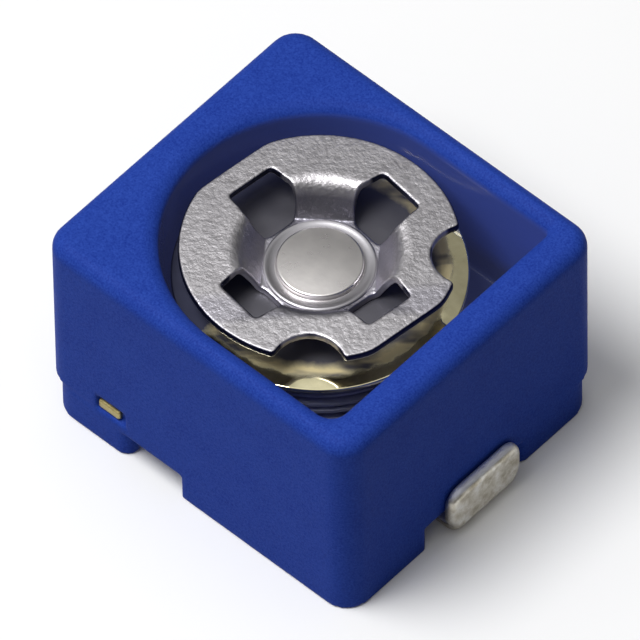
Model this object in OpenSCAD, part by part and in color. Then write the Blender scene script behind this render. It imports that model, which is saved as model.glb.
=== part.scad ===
// Film-dielectric trimmer capacitor for surface mounting: a blue moulded housing with an
// interleaved stack of half plates and clear films, turned by a slotted driver plate.
// Axes: +X towards the stator terminal, +Y along the short side, +Z up from the solder plane.

/* [Body] */
// length of the moulded housing along X, without its terminals
body_x = 4.5; // [4.3:0.1:5.0]
// width of the moulded housing along Y
body_y = 4.1; // [4.0:0.1:4.6]
// height of the housing above the solder plane
body_h = 2.9; // [2.8:0.1:3.4]
// radius of the four upright corners
corner_r = 0.32; // [0.26:0.02:0.4]
// rounding of the top outer edge
edge_r = 0.18; // [0.1:0.02:0.22]
// height of the standoff feet
standoff = 0.38; // [0.3:0.02:0.44]

/* [Well] */
// radius of the round side of the well
well_r = 1.75; // [1.73:0.01:1.8]
// distance from the centre to the straight wall on the stator side
well_x = 1.78; // [1.75:0.01:1.85]
// width of the sloped rim of the well
rim_w = 0.1; // [0.06:0.01:0.12]

/* [Terminals] */
// thickness of the terminal sheet
sheet_t = 0.13; // [0.1:0.01:0.15]
// width of a soldering tab
tab_w = 1.14; // [0.9:0.02:1.3]
// height of a soldering tab
tab_h = 0.72; // [0.6:0.01:0.9]
// width of a tie bar left from the lead frame
tie_w = 0.32; // [0.2:0.01:0.36]

/* [Driver plate] */
// radius of the driver plate
driver_r = 1.545; // [1.45:0.005:1.6]
// distance from the centre to each flat
flat_x = 1.465; // [1.4:0.005:1.48]
// depth of the driver plate below the rim of the well
driver_drop = 0.15; // [0.1:0.01:0.2]
// thickness of the driver plate
driver_t = 0.1; // [0.08:0.01:0.12]
// depth of the central dish below the driver plate's rim
dish_depth = 0.38; // [0.34:0.01:0.42]
// width of each driver slot
slot_w = 0.6; // [0.5:0.01:0.64]
// distance from the centre to the outer end of each slot
slot_reach = 1.17; // [1.14:0.01:1.22]
// radius of the two round notches in the edge
notch_r = 0.4; // [0.3:0.01:0.44]
// angle of the driver plate as supplied
driver_turn = -7.2; // [-10:0.1:10]

/* [Capacitor stack] */
// thickness of a stator or rotor plate
plate_t = 0.08; // [0.06:0.01:0.08]
// thickness of a dielectric film
film_t = 0.04; // [0.03:0.01:0.04]
// radius of the half plates
plate_r = 1.45; // [1.3:0.01:1.45]
// radius of the brass disc under the driver plate
disc_r = 1.63; // [1.6:0.01:1.66]
// radius of the spindle
spindle_r = 0.3; // [0.25:0.01:0.32]

/* [Hidden] */
$fn = 72;

cut = 0.5;              // overrun of every cutting shape
far = 5;                // reach of the blocks that select one side of a shape
run_gap = 0.02;         // running gap between a film and a rotor plate
axial_gap = 0.01;       // end float of the rotor
slip = 0.01;            // side clearance of parts that sit in one another
level_n = 3;            // number of stator plates, and of rotor plates

// heights, counted down from the driver plate
driver_top = body_h - driver_drop;
driver_under = driver_top - driver_t;
dish_top = driver_top - dish_depth;
disc_top = dish_top - driver_t;
disc_t = 0.06;
stack_top = disc_top - disc_t;
level_pitch = 2 * (plate_t + film_t + run_gap);
first_stator = stack_top - run_gap - film_t - plate_t;
first_rotor = first_stator - film_t - run_gap - plate_t;
floor_z = stack_top - level_n * level_pitch - sheet_t;

// well corners on the stator side
well_front_r = 0.2;
well_back_r = 0.06;

// underside of the housing
washer_room = 0.17;
washer_pocket_r = 0.75;
ring_z = standoff + washer_room;
bore_r = spindle_r + 0.03;

// feet: two pads and two long feet, each opposite its like; one side of a pad stands back
pad_x = 1.25;
pad_y = 1.36;
pad_r = 0.17;
pad_set = 0.09;
pad_top = 0.52;
long_x = 2.47;
long_y = 1.26;
long_r = 0.1;

// terminals
tab_gap = 0.02;
tab_y = 0.05;
tab_corner_r = 0.22;
tab_low = 0.12;
leg_in = 0.07;
leg_w = tab_w - 2 * leg_in;
bend_in = 0.06;
bend_out = bend_in + sheet_t;
tab_out = body_x / 2 + tab_gap + sheet_t;
flange_x0 = 1.47;
flange_x1 = well_x - 0.04;
flange_y = 1.66;
ring_r = 1.1;
tie_x = -1.305;
tie_end = body_y / 2 - 0.02;
window_x = 0.42;
window_depth = 0.08;
window_h = 0.22;
window_side = 0.01;
window_drop = 0.01;

// stator side
post_r = 0.07;
post_head_r = 0.12;
post_head_t = 0.04;
post_x = (flange_x0 + flange_x1) / 2;
post_y = 1.5;
ring_wall_r = 0.13;
strip_neck_x = 1.2;
strip_neck_y = 0.6;
stator_eye_r = 0.66;
film_r = 1.55;
film_eye_r = 0.62;
base_film_r = 1.4;

// rotor side
hub_r = 0.55;
eye_r = spindle_r + slip;
plate_hub_r = 0.6;

// driver plate: notches and the webs that bend down to the dish
notch_centre = 1.62;
notch_angle = 45;
dish_r = 0.68;
shoulder_in = 0.1;
foot_in = 0.05;
web_angle = 60;
web_foot = 0.64;
web_inner = 0.45;
web_lap = 0.03;
lap_in = 0.02;
bend_steps = 8;
bend_sum = shoulder_in + driver_t + foot_in;
web_drop = dish_depth - bend_sum * (1 - cos(web_angle));
web_length = web_drop / sin(web_angle);
web_start = web_foot + bend_sum * sin(web_angle) + web_length * cos(web_angle);

// spindle
flange_r = 0.63;
flange_t = 0.03;
boss_r = 0.485;
boss_t = 0.05;
dome_h = 0.03;
dome_r = (boss_r * boss_r + dome_h * dome_h) / (2 * dome_h);
rivet_r = 0.45;
rivet_t = 0.1;
rivet_slope = 0.05;
lock_z = standoff + 0.02;
lock_t = 0.06;
lock_r = 0.55;
spring_t = 0.04;
spring_land_r = 0.42;
spring_rise_r = 0.56;
spring_r = 0.68;

// a rectangle with four round corners, centred
module round_plan(x, y, r) {
    square([x - 2 * r, y], center = true);
    square([x, y - 2 * r], center = true);
    for (i = [-1, 1], j = [-1, 1])
        translate([i * (x / 2 - r), j * (y / 2 - r)]) circle(r);
}

module ring(inner, outer, height) {
    linear_extrude(height) difference() {
        circle(outer);
        circle(inner);
    }
}

// the part of a ring of sheet between two angles less than half a turn apart
module bend_plan(inner, thickness, angle) {
    intersection() {
        difference() {
            circle(inner + thickness);
            circle(inner);
        }
        polygon([[0, 0], [far, 0], [far * cos(angle / 2), far * sin(angle / 2)],
                 [far * cos(angle), far * sin(angle)]]);
    }
}

// ---------------------------------------------------------------- housing

module block_profile(width) {
    translate([-width / 2, standoff]) square([width, body_h - edge_r - standoff]);
    translate([-width / 2 + edge_r, standoff]) square([width - 2 * edge_r, body_h - standoff]);
    for (i = [-1, 1])
        translate([i * (width / 2 - edge_r), body_h - edge_r]) circle(edge_r);
}

module corner_post() {
    rotate_extrude() {
        translate([0, standoff]) square([corner_r - edge_r, body_h - standoff]);
        translate([0, standoff]) square([corner_r, body_h - edge_r - standoff]);
        intersection() {
            translate([corner_r - edge_r, body_h - edge_r]) circle(edge_r);
            translate([0, standoff]) square([corner_r, body_h]);
        }
    }
}

module block() {
    rotate([90, 0, 90])
        linear_extrude(body_x - 2 * corner_r, center = true) block_profile(body_y);
    rotate([90, 0, 0])
        linear_extrude(body_y - 2 * corner_r, center = true) block_profile(body_x);
    for (i = [-1, 1], j = [-1, 1])
        translate([i * (body_x / 2 - corner_r), j * (body_y / 2 - corner_r), 0]) corner_post();
}

// places the pad feet: the shape's outer corner goes to [pad_x, pad_y]
module at_pad(turn) {
    rotate([0, 0, turn]) translate([body_x / 2 - pad_x, body_y / 2 - pad_y, 0]) children();
}

// a pad foot that reaches x and y from its inner corner
module pad_foot(x, y) {
    linear_extrude(pad_top) intersection() {
        translate([x / 2, y / 2]) round_plan(x, y, pad_r);
        round_plan(2 * x, 2 * y, corner_r);
    }
}

// the body cut back beside a pad foot
module pad_recess(x, y) {
    translate([x, y, -cut]) cube([pad_x, pad_y, pad_top + cut]);
}

// a long foot at the +X -Y corner
module long_foot() {
    linear_extrude(standoff) intersection() {
        round_plan(body_x, body_y, corner_r);
        translate([(body_x - long_x) / 2 + cut / 2, (long_y - body_y) / 2 - cut / 2])
            round_plan(long_x + cut, long_y + cut, long_r);
    }
}

// a sloped rim around a round part of the well
module rim_cone(r) {
    translate([0, 0, body_h - rim_w]) cylinder(r1 = r, r2 = r + rim_w, h = rim_w);
    translate([0, 0, body_h]) cylinder(r = r + rim_w, h = cut);
}

// a straight run of sloped rim, along +X and opening towards -Y
module rim_run(length) {
    rotate([90, 0, 90]) linear_extrude(length)
        polygon([[0, body_h - rim_w], [-rim_w, body_h], [-rim_w, body_h + cut],
                 [cut, body_h + cut], [cut, body_h - rim_w]]);
}

module well() {
    front = well_x - well_front_r;
    back = well_x - well_back_r;
    side = 2 * well_r - well_front_r - well_back_r;
    translate([0, 0, floor_z]) linear_extrude(body_h) {
        circle(well_r);
        translate([0, -well_r]) square([front, well_r]);
        square([back, well_r]);
        translate([0, -well_r + well_front_r]) square([well_x, side]);
        translate([front, -well_r + well_front_r]) circle(well_front_r);
        translate([back, well_r - well_back_r]) circle(well_back_r);
    }
    rim_cone(well_r);
    translate([front, -well_r + well_front_r, 0]) rim_cone(well_front_r);
    translate([back, well_r - well_back_r, 0]) rim_cone(well_back_r);
    translate([0, -well_r, 0]) rim_run(front);
    translate([back, well_r, 0]) rotate([0, 0, 180]) rim_run(back);
    translate([well_x, -well_r + well_front_r, 0]) rotate([0, 0, 90]) rim_run(side);
}

// the room moulded around the two terminals
module terminal_room() {
    translate([flange_x0 - slip, tab_y - leg_w / 2 - slip, 0])
        cube([sheet_t + 2 * slip, leg_w + 2 * slip, body_h]);
    translate([-flange_x0 - sheet_t - slip, -tab_y - leg_w / 2 - slip, 0])
        cube([sheet_t + 2 * slip, leg_w + 2 * slip, ring_z + sheet_t]);
    translate([0, 0, ring_z]) linear_extrude(sheet_t) ring_plan(slip);
    for (j = [-1, 1])
        translate([tie_x - tie_w / 2 - window_side,
                   j * (body_y / 2 - window_depth / 2) - window_depth / 2,
                   ring_z - window_drop])
            cube([window_x, window_depth + slip, window_h]);
}

module housing() {
    color("RoyalBlue") {
        difference() {
            block();
            well();
            terminal_room();
            cylinder(r = bore_r, h = body_h);
            cylinder(r = washer_pocket_r, h = ring_z);
            at_pad(0) pad_recess(pad_r, pad_y - corner_r - pad_set - pad_r);
            at_pad(180) pad_recess(pad_x - corner_r - pad_set - pad_r, pad_r);
        }
        at_pad(0) pad_foot(pad_x, pad_y - pad_set);
        at_pad(180) pad_foot(pad_x - pad_set, pad_y);
        long_foot();
        rotate([0, 0, 180]) long_foot();
    }
}

// ---------------------------------------------------------------- terminals

module tab_plan() {
    intersection() {
        translate([0, (tab_h + tab_low) / 2]) round_plan(tab_w, tab_h - tab_low, tab_corner_r);
        translate([-tab_w / 2, bend_out]) square([tab_w, tab_h]);
    }
}

// soldering tab, leg under the body, and riser up to the given height, on the +X side
module lead(top) {
    translate([tab_out - sheet_t, tab_y, 0])
        rotate([90, 0, 90]) linear_extrude(sheet_t) tab_plan();
    translate([0, tab_y, 0]) rotate([90, 0, 0]) linear_extrude(leg_w, center = true) {
        translate([tab_out - bend_out, bend_out]) rotate(-90) bend_plan(bend_in, sheet_t, 90);
        translate([flange_x0 + bend_out, bend_out]) rotate(180) bend_plan(bend_in, sheet_t, 90);
        translate([flange_x0 + bend_out, 0])
            square([tab_out - flange_x0 - 2 * bend_out, sheet_t]);
        translate([flange_x0, bend_out]) square([sheet_t, top - bend_out]);
    }
}

module stator_terminal() {
    color("Silver") difference() {
        union() {
            lead(floor_z + sheet_t);
            translate([flange_x0, -flange_y, floor_z])
                cube([flange_x1 - flange_x0, 2 * flange_y, sheet_t]);
        }
        at_posts() translate([0, 0, floor_z - cut]) cylinder(r = post_r + slip, h = body_h);
    }
}

// plan of the rotor terminal's inner sheet; grow widens it on every side
module ring_plan(grow) {
    circle(ring_r + grow);
    translate([-flange_x0 - sheet_t - grow, -tab_y - leg_w / 2 - grow])
        square([flange_x0 + sheet_t, leg_w + 2 * grow]);
    translate([tie_x, 0]) square([tie_w + 2 * grow, 2 * tie_end + 2 * grow], center = true);
}

module rotor_terminal() {
    color("Silver") {
        rotate([0, 0, 180]) lead(ring_z + sheet_t);
        translate([0, 0, ring_z]) linear_extrude(sheet_t) difference() {
            ring_plan(0);
            circle(bore_r + slip);
        }
    }
}

// ---------------------------------------------------------------- stator stack

module at_posts() {
    for (j = [-1, 1]) translate([post_x, j * post_y, 0]) children();
}

module stator_posts() {
    head_z = first_stator + plate_t;
    color("Goldenrod") at_posts() {
        translate([0, 0, floor_z]) cylinder(r = post_r, h = head_z - floor_z);
        translate([0, 0, head_z]) cylinder(r = post_head_r, h = post_head_t);
    }
}

module stator_spacers() {
    color("Goldenrod") at_posts() for (i = [0 : level_n - 1]) {
        top = first_stator - i * level_pitch;
        bottom = i < level_n - 1 ? top - level_pitch + plate_t : floor_z + sheet_t;
        translate([0, 0, bottom]) ring(post_r + slip, ring_wall_r, top - bottom);
    }
}

module stator_plate(i) {
    color("Gold") translate([0, 0, first_stator - i * level_pitch])
        linear_extrude(plate_t) difference() {
            union() {
                intersection() {
                    circle(plate_r);
                    translate([0, -far / 2]) square(far);
                }
                translate([strip_neck_x, -strip_neck_y])
                    square([flange_x1 - strip_neck_x, 2 * strip_neck_y]);
                translate([flange_x0, -flange_y]) square([flange_x1 - flange_x0, 2 * flange_y]);
            }
            circle(stator_eye_r);
            at_posts() circle(post_r + slip);
        }
}

module stator_plate_1() stator_plate(0);
module stator_plate_2() stator_plate(1);
module stator_plate_3() stator_plate(2);

// a film on the upper or lower face of a stator plate
module film(i, upper) {
    z = first_stator - i * level_pitch + (upper ? plate_t : -film_t);
    color("LightCyan", 0.4) translate([0, 0, z]) ring(film_eye_r, film_r, film_t);
}

module film_1() film(0, true);
module film_2() film(0, false);
module film_3() film(1, true);
module film_4() film(1, false);
module film_5() film(2, true);
module film_6() film(2, false);

module base_film() {
    color("LightCyan", 0.4) translate([0, 0, floor_z]) ring(film_eye_r, base_film_r, film_t);
}

// ---------------------------------------------------------------- rotor

module rotor_plate(i) {
    color("Gold") translate([0, 0, first_rotor - i * level_pitch]) rotate([0, 0, driver_turn])
        linear_extrude(plate_t) difference() {
            union() {
                circle(plate_hub_r);
                intersection() {
                    circle(plate_r);
                    translate([-far, -far / 2]) square(far);
                }
            }
            circle(eye_r);
        }
}

module rotor_plate_1() rotor_plate(0);
module rotor_plate_2() rotor_plate(1);
module rotor_plate_3() rotor_plate(2);

// the ring above each rotor plate
module rotor_spacer(i) {
    bottom = first_rotor - i * level_pitch + plate_t;
    top = i > 0 ? bottom + level_pitch - plate_t : stack_top;
    color("Goldenrod") translate([0, 0, bottom]) ring(eye_r, hub_r, top - bottom);
}

module rotor_spacer_1() rotor_spacer(0);
module rotor_spacer_2() rotor_spacer(1);
module rotor_spacer_3() rotor_spacer(2);

module thrust_collar() {
    bottom = floor_z + axial_gap;
    top = first_rotor - (level_n - 1) * level_pitch;
    color("Goldenrod") translate([0, 0, bottom]) ring(eye_r, hub_r, top - bottom);
}

module rotor_disc() {
    color("Gold") translate([0, 0, stack_top]) ring(eye_r, disc_r, disc_t);
}

// points of an arc about [x, z], from angle a0 to a1
function arc(x, z, r, a0, a1) =
    [for (k = [0 : bend_steps]) let (a = a0 + (a1 - a0) * k / bend_steps)
        [x + r * cos(a), z + r * sin(a)]];

// side view of one web: foot bend, steep run and shoulder bend, all one sheet thickness,
// with a tongue that joins it to the middle of the rim's edge
module web_profile() {
    foot_z = dish_top + foot_in;
    shoulder_z = driver_under - shoulder_in;
    polygon(concat(
        [[web_inner, dish_top]],
        arc(web_foot, foot_z, foot_in, -90, web_angle - 90),
        arc(web_start, shoulder_z, shoulder_in + driver_t, 90 + web_angle, 90),
        [for (p = [[0, driver_top - lap_in], [web_lap, driver_top - lap_in],
                   [web_lap, driver_under + lap_in], [0, driver_under + lap_in]])
            [web_start + p[0], p[1]]],
        arc(web_start, shoulder_z, shoulder_in, 90, 90 + web_angle),
        arc(web_foot, foot_z, foot_in + driver_t, web_angle - 90, -90),
        [[web_inner, disc_top]]));
}

module driver_rim_plan() {
    difference() {
        intersection() {
            circle(driver_r);
            square([2 * flat_x, far], center = true);
        }
        for (j = [-1, 1])
            rotate(j * notch_angle) translate([notch_centre, 0]) circle(notch_r);
        for (i = [0 : 3]) rotate(90 * i) intersection() {
            rotate(45) square(2 * web_start, center = true);
            translate([slot_w / 2 - slip, slot_w / 2 - slip]) square(far);
        }
        square([slot_w, 2 * slot_reach], center = true);
        square([2 * slot_reach, slot_w], center = true);
    }
}

module driver_plate() {
    color("Silver") rotate([0, 0, driver_turn]) {
        translate([0, 0, driver_under]) linear_extrude(driver_t) driver_rim_plan();
        for (i = [0 : 3]) rotate([0, 0, 90 * i]) intersection() {
            rotate([0, 0, 45]) rotate([90, 0, 0])
                linear_extrude(2 * web_start, center = true) web_profile();
            translate([slot_w / 2, slot_w / 2, 0]) cube(far);
        }
        translate([0, 0, disc_top]) ring(eye_r, dish_r, driver_t);
    }
}

module spindle() {
    boss_z = dish_top + flange_t;
    color("LightGray") {
        translate([0, 0, lock_z]) cylinder(r = spindle_r, h = dish_top - lock_z);
        translate([0, 0, dish_top]) cylinder(r = flange_r, h = flange_t);
        intersection() {
            translate([0, 0, boss_z]) cylinder(r = boss_r, h = boss_t + dome_h);
            translate([0, 0, boss_z + boss_t + dome_h - dome_r]) sphere(dome_r);
        }
        translate([0, 0, lock_z - rivet_t])
            cylinder(r1 = rivet_r - rivet_slope, r2 = rivet_r, h = rivet_t);
    }
}

module retaining_washer() {
    color("Silver") translate([0, 0, lock_z]) ring(eye_r, lock_r, lock_t);
}

// a dished ring between the retaining washer and the rotor terminal's ring
module spring_washer() {
    low = lock_z + lock_t;
    high = ring_z - axial_gap;
    color("Goldenrod") rotate_extrude()
        polygon([[eye_r, low], [spring_land_r, low], [spring_rise_r, high - spring_t],
                 [spring_r, high - spring_t], [spring_r, high],
                 [spring_rise_r - slip, high], [spring_land_r - slip, low + spring_t],
                 [eye_r, low + spring_t]]);
}

housing();
stator_terminal();
rotor_terminal();
stator_posts();
stator_spacers();
stator_plate_1();
stator_plate_2();
stator_plate_3();
film_1();
film_2();
film_3();
film_4();
film_5();
film_6();
base_film();
rotor_plate_1();
rotor_plate_2();
rotor_plate_3();
rotor_spacer_1();
rotor_spacer_2();
rotor_spacer_3();
thrust_collar();
rotor_disc();
driver_plate();
spindle();
spring_washer();
retaining_washer();
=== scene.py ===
import math

import bpy
import numpy as np
from mathutils import Matrix, Vector


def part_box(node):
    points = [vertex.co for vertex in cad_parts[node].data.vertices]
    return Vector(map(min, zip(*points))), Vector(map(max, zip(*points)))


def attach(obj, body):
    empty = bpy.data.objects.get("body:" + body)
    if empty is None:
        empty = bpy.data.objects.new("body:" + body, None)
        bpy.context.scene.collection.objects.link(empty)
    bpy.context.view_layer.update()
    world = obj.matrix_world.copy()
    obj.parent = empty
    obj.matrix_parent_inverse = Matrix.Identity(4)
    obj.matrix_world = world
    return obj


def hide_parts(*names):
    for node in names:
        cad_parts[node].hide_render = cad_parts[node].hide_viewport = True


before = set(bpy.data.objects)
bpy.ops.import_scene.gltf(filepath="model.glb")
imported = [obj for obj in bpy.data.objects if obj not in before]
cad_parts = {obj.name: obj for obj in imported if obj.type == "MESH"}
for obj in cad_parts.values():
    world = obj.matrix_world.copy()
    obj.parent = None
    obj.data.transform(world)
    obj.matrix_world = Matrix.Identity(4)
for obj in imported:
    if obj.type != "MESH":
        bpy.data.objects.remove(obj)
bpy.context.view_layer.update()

MM = 0.001


# ------------------------------------------------------------------ shader nodes

NOISE_LOW, NOISE_HIGH = 0.3, 0.7    # nearly all of a noise lies between these


def node(tree, kind, **values):
    """A new node; each value goes to the input or the setting of that name."""
    n = tree.nodes.new(kind)
    for key, value in values.items():
        if key in n.inputs:
            n.inputs[key].default_value = value
        else:
            setattr(n, key, value)
    return n


def feed(tree, value, socket):
    """Sets a socket to a number or a colour, or links it to another node's output."""
    if isinstance(value, float):
        socket.default_value = value
    elif isinstance(value, tuple):
        socket.default_value = (*value, 1.0)
    else:
        tree.links.new(value, socket)


def calc(tree, operation, *values):
    """One Math node over numbers and outputs."""
    n = node(tree, "ShaderNodeMath", operation=operation)
    for value, socket in zip(values, n.inputs):
        feed(tree, value, socket)
    return n.outputs[0]


def mm_coords(tree):
    """Object coordinates in millimetres."""
    where = node(tree, "ShaderNodeTexCoord")
    scaled = node(tree, "ShaderNodeVectorMath", operation="SCALE")
    scaled.inputs["Scale"].default_value = 1.0 / MM
    tree.links.new(where.outputs["Object"], scaled.inputs[0])
    return scaled.outputs[0]


def parts_of(tree, vector):
    """The X, Y and Z of a vector."""
    split = node(tree, "ShaderNodeSeparateXYZ")
    tree.links.new(vector, split.inputs[0])
    return [split.outputs[axis] for axis in "XYZ"]


def radius_of(tree, coords):
    """Distance from the rotor's axis, in mm."""
    flat = node(tree, "ShaderNodeVectorMath", operation="MULTIPLY")
    flat.inputs[1].default_value = (1.0, 1.0, 0.0)
    tree.links.new(coords, flat.inputs[0])
    radius = node(tree, "ShaderNodeVectorMath", operation="LENGTH")
    tree.links.new(flat.outputs[0], radius.inputs[0])
    return radius.outputs["Value"]


def upward(tree):
    """1 on a surface that faces up, 0 on an upright one and -1 on one that faces down."""
    surface = node(tree, "ShaderNodeNewGeometry")
    return parts_of(tree, surface.outputs["Normal"])[2]


def noise(tree, coords, scale, detail, roughness):
    """A soft random cloud; scale is in blots per mm."""
    n = node(tree, "ShaderNodeTexNoise", Scale=scale, Detail=detail, Roughness=roughness)
    tree.links.new(coords, n.inputs["Vector"])
    return n.outputs["Fac"]


def ramp(tree, value, stops):
    """Colour ramp over value; stops are (position, colour)."""
    n = node(tree, "ShaderNodeValToRGB")
    while len(n.color_ramp.elements) < len(stops):
        n.color_ramp.elements.new(0.5)
    for element, (position, colour) in zip(n.color_ramp.elements, stops):
        element.position = position
        element.color = (*colour, 1.0)
    tree.links.new(value, n.inputs["Fac"])
    return n.outputs["Color"]


def two_tone(tree, cloud, dark, light):
    """Colour that drifts between two tones with a noise."""
    return ramp(tree, cloud, [(NOISE_LOW, dark), (NOISE_HIGH, light)])


def remap(tree, value, low, high, new_low, new_high):
    """Carries the range low to high over to another one, and stays inside it."""
    n = node(tree, "ShaderNodeMapRange")
    n.inputs["From Min"].default_value = low
    n.inputs["From Max"].default_value = high
    n.inputs["To Min"].default_value = new_low
    n.inputs["To Max"].default_value = new_high
    tree.links.new(value, n.inputs["Value"])
    return n.outputs["Result"]


def spread(tree, cloud, low, high):
    """Value that drifts between two limits with a noise."""
    return remap(tree, cloud, NOISE_LOW, NOISE_HIGH, low, high)


def mask(tree, value, off, on):
    """0 where value is at off or beyond, 1 where it is at on or beyond."""
    return remap(tree, value, off, on, 0.0, 1.0)


def blend(tree, fac, a, b):
    """Colour a where fac is 0, colour b where it is 1."""
    mix = node(tree, "ShaderNodeMix", data_type="RGBA")
    for value, socket in zip((fac, a, b), (mix.inputs[0], mix.inputs[6], mix.inputs[7])):
        feed(tree, value, socket)
    return mix.outputs[2]


def mix_value(tree, fac, a, b):
    """Value a where fac is 0, value b where it is 1."""
    mix = node(tree, "ShaderNodeMix", data_type="FLOAT")
    for value, socket in zip((fac, a, b), (mix.inputs[0], mix.inputs[2], mix.inputs[3])):
        feed(tree, value, socket)
    return mix.outputs[0]


def srgb(*channels):
    """Linear colour of three display values from 0 to 255."""
    def linear(c):
        return c / 12.92 if c <= 0.04045 else ((c + 0.055) / 1.055) ** 2.4
    return tuple(linear(c / 255.0) for c in channels)


# ------------------------------------------------------------------ finishes

# the Principled input that each output of a look feeds
FEEDS = {"Color": "Base Color", "Roughness": "Roughness", "Coat": "Coat Weight",
         "Glow": "Emission Color", "Metallic": "Metallic"}


def new_look(name):
    """An empty node group for a finish."""
    return bpy.data.node_groups.new(name, "ShaderNodeTree")


def put_out(tree, **results):
    """Gives a look its outputs and feeds them."""
    for label in results:
        kind = "NodeSocketColor" if label in ("Color", "Glow") else "NodeSocketFloat"
        tree.interface.new_socket(name=label, in_out="OUTPUT", socket_type=kind)
    out = tree.nodes.new("NodeGroupOutput")
    for label, value in results.items():
        tree.links.new(value, out.inputs[label])
    return tree


def finish_material(slot_name, look, metallic, bump, **sockets):
    """Principled material fed by a look; sockets are the values that are the same all over."""
    mat = bpy.data.materials[slot_name]
    mat.use_nodes = True
    tree = mat.node_tree
    tree.nodes.clear()
    out = tree.nodes.new("ShaderNodeOutputMaterial")
    shader = tree.nodes.new("ShaderNodeBsdfPrincipled")
    tree.links.new(shader.outputs[0], out.inputs["Surface"])
    shader.inputs["Metallic"].default_value = metallic
    for key, value in sockets.items():
        shader.inputs[key.replace("_", " ")].default_value = value
    finish = tree.nodes.new("ShaderNodeGroup")
    finish.node_tree = look
    for label, socket in FEEDS.items():
        if label in finish.outputs:
            tree.links.new(finish.outputs[label], shader.inputs[socket])
    grain = node(tree, "ShaderNodeBump", Strength=bump, Distance=MM * 0.01)
    tree.links.new(finish.outputs["Height"], grain.inputs["Height"])
    tree.links.new(grain.outputs[0], shader.inputs["Normal"])


def moulded_look():
    """Speckled blue plastic outside; in the well, smooth coated walls painted a greyer, lighter blue
    as painted light, darker below the stack as painted shade, and a faint painted glow.
    """
    tree = new_look("moulded_blue")
    coords = mm_coords(tree)
    x, y, z = parts_of(tree, coords)
    cloud = noise(tree, coords, scale=2.2, detail=3.0, roughness=0.6)
    grain = noise(tree, coords, scale=22.0, detail=3.0, roughness=0.6)
    speck = noise(tree, coords, scale=45.0, detail=2.0, roughness=0.5)
    speckle = calc(tree, "ADD", calc(tree, "MULTIPLY", cloud, 0.2),
                   calc(tree, "MULTIPLY", speck, 0.8))
    outside = two_tone(tree, speckle, srgb(27, 52, 140), srgb(46, 76, 169))
    reach = calc(tree, "MAXIMUM", calc(tree, "ABSOLUTE", x), calc(tree, "ABSOLUTE", y))
    within = mask(tree, reach, off=1.9, on=1.86)
    rim = mask(tree, z, off=2.74, on=2.82)
    well = calc(tree, "MAXIMUM", calc(tree, "SUBTRACT", within, rim), 0.0)
    above_stack = mask(tree, z, off=1.5, on=1.75)
    # painted light and shade: the well's walls are greyer and lighter than the outside, and darker
    # below the stack
    well_painted_light_and_shade = blend(tree, above_stack, srgb(62, 70, 112), srgb(60, 80, 166))
    # painted glow: a faint emission inside the well that lifts its shade
    well_painted_glow = blend(tree, well, (0.0, 0.0, 0.0), (0.010, 0.012, 0.034))
    return put_out(tree, Color=blend(tree, well, outside, well_painted_light_and_shade),
                   Roughness=spread(tree, grain, 0.5, 0.6), Height=grain, Coat=well,
                   Glow=well_painted_glow)


def stamped_look():
    """Matte plated steel: grained rim, smoother webs painted light on one diagonal and dark on the
    other as painted light and shade, dull underside, and painted shade on the steep edges of the rim
    and the slots' outer ends.
    """
    tree = new_look("stamped_silver")
    coords = mm_coords(tree)
    x, y, z = parts_of(tree, coords)
    radius = radius_of(tree, coords)
    up = upward(tree)
    cloud = noise(tree, coords, scale=4.0, detail=4.0, roughness=0.6)
    grain = noise(tree, coords, scale=16.0, detail=4.0, roughness=0.62)
    rim = two_tone(tree, cloud, srgb(191, 188, 191), srgb(209, 206, 209))

    # painted light and shade: the webs on one diagonal are painted light, those on the other dark
    painted_lit_webs = mask(tree, calc(tree, "MULTIPLY", x, y), off=-0.08, on=0.08)
    webs = blend(tree, painted_lit_webs, srgb(142, 140, 150), srgb(206, 203, 212))
    # the dark web colour, painted shade, climbs higher on the shoulder towards +X -Y
    towards = calc(tree, "SUBTRACT", x, y)
    painted_shade_climb = calc(tree, "MULTIPLY", remap(tree, towards, 0.7, 1.0, 0.0, 0.14),
                 mask(tree, towards, off=1.55, on=1.3))
    raised = mask(tree, calc(tree, "SUBTRACT", z, painted_shade_climb), off=2.58, on=2.68)

    # painted shade: steep walls near the rim's edge and at the slots' outer ends are painted dark
    slot_end = calc(tree, "MULTIPLY", mask(tree, radius, off=1.04, on=1.08),
                    mask(tree, radius, off=1.225, on=1.215))
    by_edge = calc(tree, "MAXIMUM", mask(tree, radius, off=1.38, on=1.42), slot_end)
    painted_shade_edge = calc(tree, "MULTIPLY", mask(tree, up, off=0.97, on=0.72), by_edge)
    under = mask(tree, up, off=-0.1, on=-0.3)
    colour = blend(tree, painted_shade_edge, blend(tree, raised, webs, rim), srgb(52, 54, 78))
    return put_out(tree, Color=blend(tree, under, colour, srgb(190, 188, 196)),
                   Roughness=mix_value(tree, raised, 0.34, spread(tree, grain, 0.36, 0.5)),
                   Height=grain)


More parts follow.
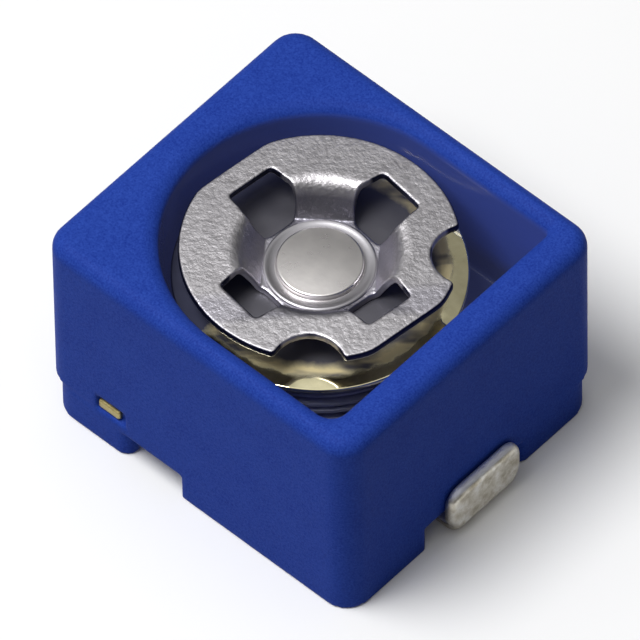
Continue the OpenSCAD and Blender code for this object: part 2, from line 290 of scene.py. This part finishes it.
def polished_look():
    """Wavy mirror brass at the edge towards +X, the rest under dark grease with brass smears; the
    outer ring towards -X is painted navy as a painted reflection of the shaded blue wall.
    """
    tree = new_look("polished_brass")
    coords = mm_coords(tree)
    x = parts_of(tree, coords)[0]
    wave = noise(tree, coords, scale=1.6, detail=2.0, roughness=0.5)
    cloud = noise(tree, coords, scale=6.0, detail=3.0, roughness=0.6)
    clean = two_tone(tree, cloud, srgb(228, 220, 178), srgb(242, 234, 194))
    uneven = calc(tree, "ADD", radius_of(tree, coords), calc(tree, "MULTIPLY", cloud, 0.12))
    side = calc(tree, "ADD", x, calc(tree, "MULTIPLY", cloud, 0.2))
    front = mask(tree, side, off=-0.35, on=-0.2)
    past_grease = mask(tree, uneven, off=1.3, on=1.4)
    outer = calc(tree, "MULTIPLY", mask(tree, uneven, off=1.47, on=1.53), front)

    wipe = node(tree, "ShaderNodeMapping", vector_type="TEXTURE")
    wipe.inputs["Rotation"].default_value = (0.0, 0.0, math.radians(43.0))
    wipe.inputs["Scale"].default_value = (2.0, 0.6, 1.0)
    tree.links.new(coords, wipe.inputs["Vector"])
    patch = noise(tree, wipe.outputs["Vector"], scale=3.0, detail=2.0, roughness=0.5)
    smear = calc(tree, "MULTIPLY", calc(tree, "MULTIPLY", past_grease, front),
                 mask(tree, patch, off=0.36, on=0.52))

    # painted reflection: the outer ring towards -X is painted navy for the shaded blue wall it faces
    back = calc(tree, "SUBTRACT", past_grease, front)
    film = blend(tree, back, srgb(98, 97, 104), srgb(74, 76, 98))
    grease = blend(tree, smear, film, srgb(224, 210, 164))
    rough = mix_value(tree, outer, mix_value(tree, smear, 0.46, 0.58),
                      spread(tree, cloud, 0.03, 0.06))
    return put_out(tree, Color=blend(tree, outer, grease, clean), Roughness=rough,
                   Height=calc(tree, "MULTIPLY", wave, 5.0),
                   Metallic=mix_value(tree, outer, 0.7, 1.0))


def riveted_look():
    """Bright riveted head with a duller flange round it."""
    tree = new_look("pin_silver")
    coords = mm_coords(tree)
    cloud = noise(tree, coords, scale=5.0, detail=3.0, roughness=0.6)
    grain = noise(tree, coords, scale=20.0, detail=3.0, roughness=0.6)
    head = two_tone(tree, cloud, srgb(233, 229, 227), srgb(240, 236, 233))
    flange = mask(tree, radius_of(tree, coords), off=0.485, on=0.5)
    return put_out(tree, Color=blend(tree, flange, head, srgb(176, 174, 178)),
                   Roughness=mix_value(tree, flange, spread(tree, cloud, 0.27, 0.3), 0.4),
                   Height=grain)


def tinned_look():
    """Mottled tin, painted paler on top as painted light, and the bare brass of the cut tie bar."""
    tree = new_look("tinned")
    coords = mm_coords(tree)
    y = parts_of(tree, coords)[1]
    cloud = noise(tree, coords, scale=5.5, detail=5.0, roughness=0.66)
    grain = noise(tree, coords, scale=26.0, detail=4.0, roughness=0.65)
    tin = ramp(tree, cloud, [(0.36, srgb(168, 160, 141)), (0.5, srgb(202, 197, 184)),
                             (0.64, srgb(224, 222, 216))])
    # painted light: faces that look up are painted a paler tin
    top = mask(tree, upward(tree), off=0.55, on=0.8)
    tin = blend(tree, top, tin, srgb(240, 241, 246))
    cut_end = mask(tree, calc(tree, "ABSOLUTE", y), off=1.97, on=1.985)
    rough = mix_value(tree, top, spread(tree, grain, 0.3, 0.5), spread(tree, grain, 0.5, 0.62))
    return put_out(tree, Color=blend(tree, cut_end, tin, srgb(172, 158, 108)), Roughness=rough,
                   Height=grain)


def plain_look(name, dark, light, rough, scale):
    """A finish of two close tones with an even grain; scale is in grains per mm."""
    tree = new_look(name)
    coords = mm_coords(tree)
    cloud = noise(tree, coords, scale=scale * 0.25, detail=3.0, roughness=0.55)
    grain = noise(tree, coords, scale=scale, detail=4.0, roughness=0.6)
    return put_out(tree, Color=two_tone(tree, cloud, dark, light),
                   Roughness=spread(tree, grain, *rough), Height=grain)


finish_material("blue_plastic", moulded_look(), metallic=0.0, bump=0.25,
                Specular_IOR_Level=0.04, Coat_Roughness=0.14, Coat_IOR=1.45,
                Emission_Strength=1.0)
finish_material("driver_metal", stamped_look(), metallic=1.0, bump=0.95)
finish_material("pin_metal", riveted_look(), metallic=1.0, bump=0.06)
finish_material("tinned_metal", tinned_look(), metallic=1.0, bump=0.7)
finish_material("polished_brass", polished_look(), metallic=1.0, bump=0.6)
# painted shade: the stator plates are painted bluish grey for the navy shade round them, not brass
# yellow
finish_material("brass", plain_look("brass", srgb(112, 114, 150), srgb(128, 128, 158),
                                    rough=(0.3, 0.42), scale=6.0), metallic=0.4, bump=0.2)
# painted shade: the clear films are tinted bluish for the navy shade in the well's front corner
finish_material("clear_film", plain_look("film", srgb(190, 193, 222), srgb(204, 207, 230),
                                         rough=(0.08, 0.14), scale=4.0),
                metallic=0.0, bump=0.1, Transmission_Weight=0.55, IOR=1.45)


# ------------------------------------------------------------------ forms

def show(name, mesh, body, slot_name, *stands_for):
    """Puts a new piece in the scene with its body, its finish and the CAD nodes it replaces."""
    obj = bpy.data.objects.new(name, mesh)
    bpy.context.scene.collection.objects.link(obj)
    mesh.materials.append(bpy.data.materials[slot_name])
    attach(obj, body)
    if stands_for:
        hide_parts(*stands_for)


def box_mm(cad_node):
    """Lowest and highest corner of a CAD node, in mm."""
    low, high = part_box(cad_node)
    return np.array(low) / MM, np.array(high) / MM


def grid_of(field, low, high, pitch):
    """Values of a field on a grid round a box, and the grid's first corner."""
    axes = [np.arange(a - 2.5 * pitch, b + 2.5 * pitch, pitch) for a, b in zip(low, high)]
    x, y, z = np.meshgrid(*axes, indexing="ij", sparse=True)
    values = np.broadcast_to(field(x, y, z), [len(a) for a in axes]).astype(np.float32)
    return values, np.array([a[0] for a in axes])


def cell_points(values):
    """The middle of the crossings in each grid cell, and the number of each cell's point."""
    inside = values < 0
    cells = [side - 1 for side in values.shape]
    count = np.zeros(cells, np.float32)
    total = np.zeros(cells + [3], np.float32)

    def at_corner(grid, corner):
        return grid[tuple(slice(c, c + n) for c, n in zip(corner, cells))]

    for a in np.ndindex(2, 2, 2):
        for k in range(3):
            if a[k]:
                continue
            b = tuple(1 if i == k else v for i, v in enumerate(a))
            at_a, at_b = at_corner(values, a), at_corner(values, b)
            crosses = at_corner(inside, a) != at_corner(inside, b)
            t = np.where(crosses, at_a / np.where(crosses, at_a - at_b, 1.0), 0.0)
            count += crosses
            for i in range(3):
                total[..., i] += np.where(crosses, a[i] + (t if i == k else 0.0), 0.0)
    used = count > 0
    number = np.full(cells, -1, np.int64)
    number[used] = np.arange(int(used.sum()))
    return np.argwhere(used) + total[used] / count[used][:, None], number


def crossing_quads(inside, number):
    """A quad across each grid edge that leaves or enters the solid."""
    quads = []
    for k in range(3):
        i, j = (k + 1) % 3, (k + 2) % 3
        lead = [slice(None)] * 3
        lead[k] = slice(0, -1)
        lead[i] = lead[j] = slice(1, -1)
        tail = list(lead)
        tail[k] = slice(1, None)
        a, b = inside[tuple(lead)], inside[tuple(tail)]
        for edges, step in ((a & ~b, 1), (~a & b, -1)):
            base = np.argwhere(edges)
            base[:, i] += 1
            base[:, j] += 1
            ring = []
            for di, dj in ((1, 1), (0, 1), (0, 0), (1, 0))[::step]:
                cell = base.copy()
                cell[:, i] -= di
                cell[:, j] -= dj
                ring.append(number[tuple(cell.T)])
            quads.append(np.stack(ring, axis=1))
    return np.concatenate(quads)


def skin(field, low, high, pitch):
    """Points (mm) and quads of the surface where a distance field is zero, in a box."""
    values, start = grid_of(field, low, high, pitch)
    points, number = cell_points(values)
    return points * pitch + start, crossing_quads(values < 0, number)


def solid(name, points, quads, limits, turn=0.0):
    """A smooth mesh in metres, turned about Z in degrees and kept inside a box in mm."""
    c, s = math.cos(math.radians(turn)), math.sin(math.radians(turn))
    points = np.clip(points @ np.array([[c, s, 0], [-s, c, 0], [0, 0, 1]]), *limits)
    mesh = bpy.data.meshes.new(name)
    mesh.from_pydata((points * MM).tolist(), [], quads.tolist())
    mesh.polygons.foreach_set("use_smooth", [True] * len(mesh.polygons))
    mesh.validate()
    return mesh


def both(a, b, r=0.0):
    """Overlap of two fields, its edge rounded to r."""
    if r == 0.0:
        return np.maximum(a, b)
    u, v = np.maximum(r + a, 0.0), np.maximum(r + b, 0.0)
    return np.minimum(-r, np.maximum(a, b)) + np.sqrt(u * u + v * v)


def either(a, b, r=0.0):
    """Sum of two fields, its inner corner filled to r."""
    return np.minimum(a, b) if r == 0.0 else -both(-a, -b, r)


def plan(x, y, x0, x1, y0, y1, r=0.0):
    """Field of a rectangle with corners of radius r."""
    u = np.abs(x - (x0 + x1) / 2) - (x1 - x0) / 2 + r
    v = np.abs(y - (y0 + y1) / 2) - (y1 - y0) / 2 + r
    outer = np.hypot(np.maximum(u, 0.0), np.maximum(v, 0.0))
    return outer + np.minimum(np.maximum(u, v), 0.0) - r


def layer(z, middle, thick):
    """Field of a flat layer."""
    return np.abs(z - middle) - thick / 2


def path_table(points, u, v):
    """Signed distance from a path at the points of a grid, positive on its left."""
    best = np.full(u.shape, np.inf)
    side = np.ones(u.shape)
    for (x0, y0), (x1, y1) in zip(points[:-1], points[1:]):
        dx, dy = x1 - x0, y1 - y0
        t = np.clip(((u - x0) * dx + (v - y0) * dy) / (dx * dx + dy * dy), 0.0, 1.0)
        distance = np.hypot(u - x0 - t * dx, v - y0 - t * dy)
        left = np.sign(dx * (v - y0) - dy * (u - x0) + 1e-12)
        side = np.where(distance < best, left, side)
        best = np.minimum(best, distance)
    return best * side


def path_field(points, low, high, pitch=0.004):
    """Signed distance from a path in a plane, positive on its left, read off a table."""
    a = np.arange(low[0], high[0], pitch)
    b = np.arange(low[1], high[1], pitch)
    table = path_table(points, *np.meshgrid(a, b, indexing="ij"))

    def look_up(x, y):
        i = np.clip((x - low[0]) / pitch, 0, len(a) - 1.001)
        j = np.clip((y - low[1]) / pitch, 0, len(b) - 1.001)
        i, j = np.broadcast_arrays(i, j)
        i0, j0 = i.astype(int), j.astype(int)
        s, t = i - i0, j - j0
        return ((table[i0, j0] * (1 - s) + table[i0 + 1, j0] * s) * (1 - t)
                + (table[i0, j0 + 1] * (1 - s) + table[i0 + 1, j0 + 1] * s) * t)
    return look_up


def arc(cx, cy, r, start, end, steps=10):
    """Points of a round stretch; angles in degrees."""
    angles = [math.radians(start + (end - start) * k / steps) for k in range(steps + 1)]
    return [(cx + r * math.cos(a), cy + r * math.sin(a)) for a in angles]


def turned(name, profile, segments=192):
    """Mesh of a profile of (radius, z) in mm turned about Z; radius 0 ends close it."""
    angles = np.linspace(0.0, 2 * math.pi, segments, endpoint=False)
    verts, rows, faces = [], [], []
    for r, z in profile:
        if r == 0.0:
            rows.append([len(verts)] * segments)
            verts.append((0.0, 0.0, z * MM))
        else:
            rows.append(list(range(len(verts), len(verts) + segments)))
            verts += [(r * math.cos(a) * MM, r * math.sin(a) * MM, z * MM) for a in angles]
    hollow = profile[0][0] > 0
    for k in range(len(rows) if hollow else len(rows) - 1):
        a, b = rows[k], rows[(k + 1) % len(rows)]
        for i in range(segments):
            j = (i + 1) % segments
            face = list(dict.fromkeys((a[i], a[j], b[j], b[i])))
            if len(face) > 2:
                faces.append(face)
    mesh = bpy.data.meshes.new(name)
    mesh.from_pydata(verts, [], faces)
    mesh.validate()
    mesh.polygons.foreach_set("use_smooth", [True] * len(mesh.polygons))
    mesh.set_sharp_from_angle(angle=math.radians(35))
    return mesh


# ------------------------------------------------------------------ housing

HALF_X, HALF_Y, BODY_TOP = box_mm("housing")[1]
CORNER_R = 0.32         # upright corners
STANDOFF = 0.38         # height of the underside
FAR = 9.0               # reach of a shape that is open on one side


def outline(x, y):
    """The housing's upright sides."""
    return plan(x, y, -HALF_X, HALF_X, -HALF_Y, HALF_Y, CORNER_R)


def block(x, y, z):
    """The plain block above the feet."""
    edge_r, under_r = 0.18, 0.015
    return both(both(outline(x, y), z - BODY_TOP, edge_r), STANDOFF - z, under_r)


def with_pads(body, x, y, z):
    """A recess at two opposite corners, and a pad in each with one side that stands back."""
    pad_x, pad_y, pad_r, pad_set, pad_top = 1.25, 1.36, 0.17, 0.09, 0.52
    recess_r, sole_r = 0.015, 0.03
    # side, the pad's outer end in X and Y, the recess's inner end in X and Y
    pads = ((1, HALF_X, HALF_Y - pad_set, 1.17, 1.47),
            (-1, HALF_X - pad_set, HALF_Y, 1.42, 0.86))
    for side, end_x, end_y, recess_x, recess_y in pads:
        u, v = side * x, side * y
        recess = np.maximum(np.maximum(recess_x - u, recess_y - v), z - pad_top)
        pad = np.maximum(plan(u, v, HALF_X - pad_x, end_x, HALF_Y - pad_y, end_y, pad_r),
                         plan(u, v, -FAR, end_x, -FAR, end_y, CORNER_R))
        body = both(body, -recess, recess_r)
        body = either(body, both(both(pad, -z, sole_r), z - pad_top))
    return body


def with_long_feet(body, x, y, z):
    """A long foot at the other two corners."""
    long_x, long_y, long_r, sole_r = 2.47, 1.26, 0.1, 0.03
    long_top = STANDOFF + 0.1
    for side in (1, -1):
        foot = plan(side * x, side * y, HALF_X - long_x, FAR, -FAR, long_y - HALF_Y, long_r)
        foot = np.maximum(foot, outline(x, y))
        body = either(body, both(both(foot, -z, sole_r), z - long_top))
    return body


def well_outline(x, y):
    """A round with a square side towards +X, the square's corners rounded."""
    well_r, well_x, front_r, back_r = 1.75, 1.78, 0.2, 0.06
    well = either(np.hypot(x, y) - well_r, plan(x, y, 0.0, well_x, -well_r, well_r))
    for side, r in ((-1, front_r), (1, back_r)):
        cx, cy = well_x - r, well_r - r
        in_corner = (x > cx) & (side * y > cy)
        well = np.where(in_corner, np.hypot(x - cx, side * y - cy) - r, well)
    return well


def without_well(body, x, y, z):
    """Cuts the well, with a slope of 45 degrees round its mouth."""
    rim_w, rim_r, wall_r, floor_z = 0.1, 0.06, 0.02, 1.24
    well = well_outline(x, y)
    slope = (z - BODY_TOP - well + rim_w) * math.sqrt(0.5)
    return both(both(body, slope, rim_r), -np.maximum(well, floor_z - z), wall_r)


def without_openings(body, x, y, z):
    """Cuts the washer's pocket, the spindle's bore and a window at each end of the tie bar."""
    pocket_r, pocket_top, pocket_edge = 0.75, 0.55, 0.015
    bore_r, bore_edge = 0.33, 0.01
    window_x0, window_x1, window_low, window_high = -1.475, -1.055, 0.54, 0.76
    window_depth, window_edge = 0.08, 0.012
    r = np.hypot(x, y)
    body = both(body, -np.maximum(r - pocket_r, z - pocket_top), pocket_edge)
    body = both(body, bore_r - r, bore_edge)
    window = np.maximum(plan(x, z, window_x0, window_x1, window_low, window_high),
                        HALF_Y - window_depth - np.abs(y))
    return both(body, -window, window_edge)


def housing():
    """The moulded housing, one piece."""
    def field(x, y, z):
        body = block(x, y, z)
        for change in (with_pads, with_long_feet, without_well, without_openings):
            body = change(body, x, y, z)
        return body

    limits = box_mm("housing")
    points, quads = skin(field, *limits, pitch=0.0355)
    show("housing_shell", solid("housing_shell", points, quads, limits),
         "housing", "blue_plastic", "housing")


# ------------------------------------------------------------------ rotor

DRIVER_TURN = -7.2      # angle of the driver as supplied
DRIVER_THICK = 0.1      # thickness of its sheet


def driver_height(low, top):
    """Height above the driver's middle sheet: a flat hub, a leaning web and a flat rim."""
    lean, foot_r, shoulder_r, foot_x = 54.0, 0.08, 0.17, 0.61
    hub_z, rim_z = low + DRIVER_THICK / 2, top - DRIVER_THICK / 2
    turn, bends = math.radians(lean), foot_r + shoulder_r
    web = (rim_z - hub_z - bends * (1 - math.cos(turn))) / math.sin(turn)
    shoulder_x = foot_x + bends * math.sin(turn) + web * math.cos(turn)
    path = ([(-1.0, hub_z)] + arc(foot_x, hub_z + foot_r, foot_r, -90, lean - 90)
            + arc(shoulder_x, rim_z - shoulder_r, shoulder_r, 90 + lean, 90) + [(3.0, rim_z)])
    return path_field(path, (-0.2, low - 0.3), (2.6, top + 0.3))


def driver_edge(x, y):
    """A round with two flats and a notch at each corner towards +X."""
    driver_r, flat_x, corner_r = 1.545, 1.465, 0.03
    notch_at, notch_r, notch_corner_r = 1.62, 0.4, 0.05
    edge = both(np.hypot(x, y) - driver_r, np.abs(x) - flat_x, corner_r)
    for angle in (math.radians(45), math.radians(-45)):
        notch = np.hypot(x - notch_at * math.cos(angle), y - notch_at * math.sin(angle))
        edge = both(edge, notch_r - notch, notch_corner_r)
    return edge


def driver_slots(x, y):
    """Four slots in a cross with round inner ends, each a little wider beside the webs."""
    half_w, reach, end_r = 0.3, 1.17, 0.05
    inner_x, inner_half_w, inner_r, meet_r = 0.665, 0.345, 0.24, 0.03
    flare, flare_at, flare_spread = 0.04, 0.84, 0.012
    diagonal = (x + y) * math.sqrt(0.5)
    wide = half_w + flare * np.exp(-(diagonal - flare_at) ** 2 / flare_spread)

    def slot(along, aside):
        outer = plan(along, aside / wide * half_w, -1.0, reach, -1.0, half_w, end_r)
        inner = plan(along, aside, inner_x, FAR, -inner_half_w, inner_half_w, inner_r)
        return both(outer, inner, meet_r)

    return np.minimum(slot(x, y), slot(y, x))


def driver_plate():
    """The stamped driver, modelled unturned and then turned to its angle."""
    limits = low, high = box_mm("driver_plate")
    height_over = driver_height(low[2], high[2])
    fall, fall_from = 0.04, 0.9             # of the rim, per mm outwards
    round_from, round_over = 0.7, 0.2       # where the webs' bend turns into a round one
    bore_r, upper_r, lower_r, bore_edge = 0.31, 0.025, 0.015, 0.01

    def field(x, y, z):
        r = np.hypot(x, y)
        diagonal = (np.abs(x) + np.abs(y)) * math.sqrt(0.5)
        across = diagonal + np.clip((r - round_from) / round_over, 0.0, 1.0) * (r - diagonal)
        height = height_over(across, z + fall * np.maximum(r - fall_from, 0.0))
        edge = both(driver_edge(x, y), -driver_slots(np.abs(x), np.abs(y)))
        sheet = both(height - DRIVER_THICK / 2, edge, upper_r)
        sheet = both(sheet, -height - DRIVER_THICK / 2, lower_r)
        return both(sheet, bore_r - r, bore_edge)

    reach = 1.56            # of the unturned plate
    points, quads = skin(field, (-reach, -reach, low[2]), (reach, reach, high[2]), pitch=0.0165)
    show("driver_plate_stamped",
         solid("driver_plate_stamped", points, quads, limits, DRIVER_TURN),
         "rotor", "driver_metal", "driver_plate")


def spindle():
    """Domed head riveted over the driver, its spread flange, the shaft and the lower rivet."""
    low, high = box_mm("spindle")
    top, base = high[2], low[2]
    hub_top = 2.37                          # of the driver
    shaft_r, head_r, head_edge, rivet_r, rivet_top = 0.3, 0.485, 0.025, 0.45, 0.4
    head = [(r, top - fall) for r, fall in
            ((0.0, 0.0), (0.1, 0.0012), (0.2, 0.005), (0.3, 0.0113), (0.4, 0.0202),
             (0.455, 0.0265))]
    head += arc(head_r - head_edge, top - 0.052, head_edge, 85, 0, 5)
    flange = [(r, hub_top + rise) for r, rise in
              ((head_r, 0.02), (0.49, 0.008), (0.51, 0.004), (0.57, 0.018), (0.6, 0.03),
               (0.615, 0.027), (0.626, 0.018), (0.63, 0.0))]
    shaft = [(shaft_r, hub_top), (shaft_r, rivet_top)]
    rivet = [(rivet_r - 0.02, rivet_top), (rivet_r, rivet_top - 0.005), (rivet_r, rivet_top - 0.015),
             (rivet_r - 0.045, base + 0.01), (rivet_r - 0.06, base), (0.0, base)]
    show("spindle_riveted", turned("spindle_riveted", head + flange + shaft + rivet),
         "rotor", "pin_metal", "spindle")


def rotor_disc():
    """The flat disc under the driver, its edges rounded."""
    low, high = box_mm("rotor_disc")
    bore_r, edge_r, rim = 0.31, 0.022, high[0]
    profile = ([(bore_r, low[2]), (bore_r, high[2])]
               + arc(rim - edge_r, high[2] - edge_r, edge_r, 90, 0, 5)
               + arc(rim - edge_r, low[2] + edge_r, edge_r, 0, -90, 5))
    show("rotor_disc_polished", turned("rotor_disc_polished", profile, 256), "rotor",
         "polished_brass", "rotor_disc")


# ------------------------------------------------------------------ terminals

SHEET = 0.13            # thickness of the terminals
TAB_Y = 0.05            # middle of a tab, along Y


def lead_field(top):
    """Solder tab, leg and riser of a terminal that leads out towards +X."""
    tab_x, riser_x, bend_r = 2.335, 1.535, 0.125
    tab_half, tab_low, tab_high, tab_r = 0.57, 0.12, 0.72, 0.22
    leg_half, leg_out_top, leg_out_x, tab_from_x = 0.5, 0.3, 2.0, 2.2
    neck_r, outer_r, inner_r, middle = 0.03, 0.085, 0.02, SHEET / 2
    path = ([(tab_x, 2.0)] + arc(tab_x - bend_r, middle + bend_r, bend_r, 0, -90)
            + arc(riser_x + bend_r, middle + bend_r, bend_r, -90, -180) + [(riser_x, 3.0)])
    bent = path_field(path, (1.2, -0.2), (2.6, 1.6))

    def field(x, y, z):
        aside = y - TAB_Y
        tab = plan(aside, z, -tab_half, tab_half, tab_low, tab_high, tab_r)
        leg_top = np.where(x > leg_out_x, leg_out_top, top)
        leg = np.maximum(np.abs(aside) - leg_half, z - leg_top)
        width = np.where(x > tab_from_x, either(tab, leg, neck_r), leg)
        off_middle = bent(x, z)
        lead = both(off_middle - SHEET / 2, width, outer_r)
        return both(lead, -off_middle - SHEET / 2, inner_r)
    return field


def stator_terminal():
    """Terminal towards +X, with a flange along the well's straight wall."""
    limits = box_mm("stator_terminal")
    flange_x0, flange_x1, flange_y, flange_z, flange_edge = 1.47, 1.74, 1.66, 1.305, 0.01
    lead = lead_field(1.3)

    def field(x, y, z):
        flange = both(plan(x, y, flange_x0, flange_x1, -flange_y, flange_y),
                      layer(z, flange_z, SHEET), flange_edge)
        return either(lead(x, y, z), flange)

    points, quads = skin(field, *limits, pitch=0.018)
    show("stator_terminal_bent", solid("stator_terminal_bent", points, quads, limits),
         "housing", "tinned_metal", "stator_terminal")


def rotor_terminal():
    """Ring, tie bar and lead, modelled towards +X and then turned half round."""
    limits = low, high = box_mm("rotor_terminal")
    ring_z, ring_r, ring_bore = 0.615, 1.1, 0.34
    tie_x0, tie_x1, tie_y, tie_r, tie_edge = 1.145, 1.465, 2.03, 0.03, 0.025
    neck_x0, neck_x1, neck_y0, neck_y1 = 0.9, 1.55, -0.45, 0.55
    lead = lead_field(0.68)

    def field(x, y, z):
        flat = layer(z, ring_z, SHEET)
        r = np.hypot(x, y)
        ring = np.maximum(np.maximum(r - ring_r, ring_bore - r), flat)
        tie = both(plan(x, y, tie_x0, tie_x1, -tie_y, tie_y, tie_r), flat, tie_edge)
        neck = np.maximum(plan(x, y, neck_x0, neck_x1, neck_y0, neck_y1), flat)
        return either(either(lead(x, y, z), either(ring, tie)), neck)

    tab_end = 2.4
    points, quads = skin(field, (-ring_r, low[1], low[2]), (tab_end, high[1], high[2]), pitch=0.02)
    show("rotor_terminal_bent", solid("rotor_terminal_bent", points, quads, limits, 180.0),
         "housing", "tinned_metal", "rotor_terminal")


housing()
driver_plate()
spindle()
rotor_disc()
stator_terminal()
rotor_terminal()


# ------------------------------------------------------------------ studio

def put_in_scene(name, data):
    """An object of the studio."""
    obj = bpy.data.objects.new(name, data)
    bpy.context.scene.collection.objects.link(obj)
    return obj


def grey(level):
    """A neutral colour."""
    return (level, level, level)


def area_light(name, place, target, size, power):
    """A round lamp; places and size in mm, power in W."""
    data = bpy.data.lights.new(name, "AREA")
    data.shape = "DISK"
    data.size = size * MM
    data.energy = power
    obj = put_in_scene(name, data)
    obj.location = Vector(place) * MM
    obj.rotation_mode = "QUATERNION"
    obj.rotation_quaternion = (Vector(target) - Vector(place)).to_track_quat("-Z", "Y")


def floor_paint():
    """Matte mid grey for bounced light, near white to the camera and in reflections."""
    mat = bpy.data.materials.new("studio_floor")
    mat.use_nodes = True
    tree = mat.node_tree
    shader = tree.nodes["Principled BSDF"]
    shader.inputs["Roughness"].default_value = 0.9
    shader.inputs["Specular IOR Level"].default_value = 0.0
    rays = tree.nodes.new("ShaderNodeLightPath").outputs
    seen = calc(tree, "ADD", rays["Is Camera Ray"], rays["Is Glossy Ray"])
    seen = calc(tree, "ADD", seen, rays["Is Transmission Ray"])
    paint = ramp(tree, seen, [(0.0, grey(0.5)), (1.0, grey(0.98))])
    tree.links.new(paint, shader.inputs["Base Color"])
    return mat


def floor():
    half = 2.0      # metres
    mesh = bpy.data.meshes.new("studio_floor")
    mesh.from_pydata([(-half, -half, 0), (half, -half, 0), (half, half, 0), (-half, half, 0)],
                     [], [(0, 1, 2, 3)])
    mesh.materials.append(floor_paint())
    obj = put_in_scene("studio_floor", mesh)


def camera():
    """Looks down at the front right corner from far away."""
    az, el, roll = math.radians(43.052), math.radians(52.605), math.radians(-0.999)
    distance, view_w = 250.0, 7.0213163     # mm
    back = Vector((math.sin(az) * math.cos(el), -math.cos(az) * math.cos(el), math.sin(el)))
    right = Vector((math.cos(az), math.sin(az), 0.0))
    up = back.cross(right)
    across = math.cos(roll) * right + math.sin(roll) * up
    above = -math.sin(roll) * right + math.cos(roll) * up
    centre = -0.026 * across + 0.848 * above
    data = bpy.data.cameras.new("camera")
    data.sensor_width = 36.0
    data.lens = data.sensor_width * distance / view_w
    data.clip_start = 0.01
    data.clip_end = 2.0
    place = Matrix((across, above, back)).transposed().to_4x4()
    place.translation = (centre + distance * back) * MM
    obj = put_in_scene("camera", data)
    obj.matrix_world = place
    bpy.context.scene.camera = obj


def sky():
    """A pale patch overhead that darkens towards the horizon."""
    world = bpy.data.worlds.new("world")
    bpy.context.scene.world = world
    world.use_nodes = True
    tree = world.node_tree
    towards = node(tree, "ShaderNodeTexCoord")
    height = node(tree, "ShaderNodeVectorMath", operation="DOT_PRODUCT")
    height.inputs[1].default_value = (-0.2, -0.18, 0.963)
    tree.links.new(towards.outputs["Generated"], height.inputs[0])
    shades = ((0.0, 0.06), (0.3, 0.09), (0.6, 0.2), (0.78, 0.33), (0.88, 0.8), (1.0, 0.85))
    colour = ramp(tree, height.outputs["Value"], [(at, grey(shade)) for at, shade in shades])
    background = tree.nodes["Background"]
    tree.links.new(colour, background.inputs["Color"])
    background.inputs["Strength"].default_value = 1.0


floor()
camera()
area_light("key", place=(-17, -26, 74), target=(0, 0, 1), size=40, power=0.0475)
sky()
bpy.context.scene.view_settings.view_transform = "Standard"
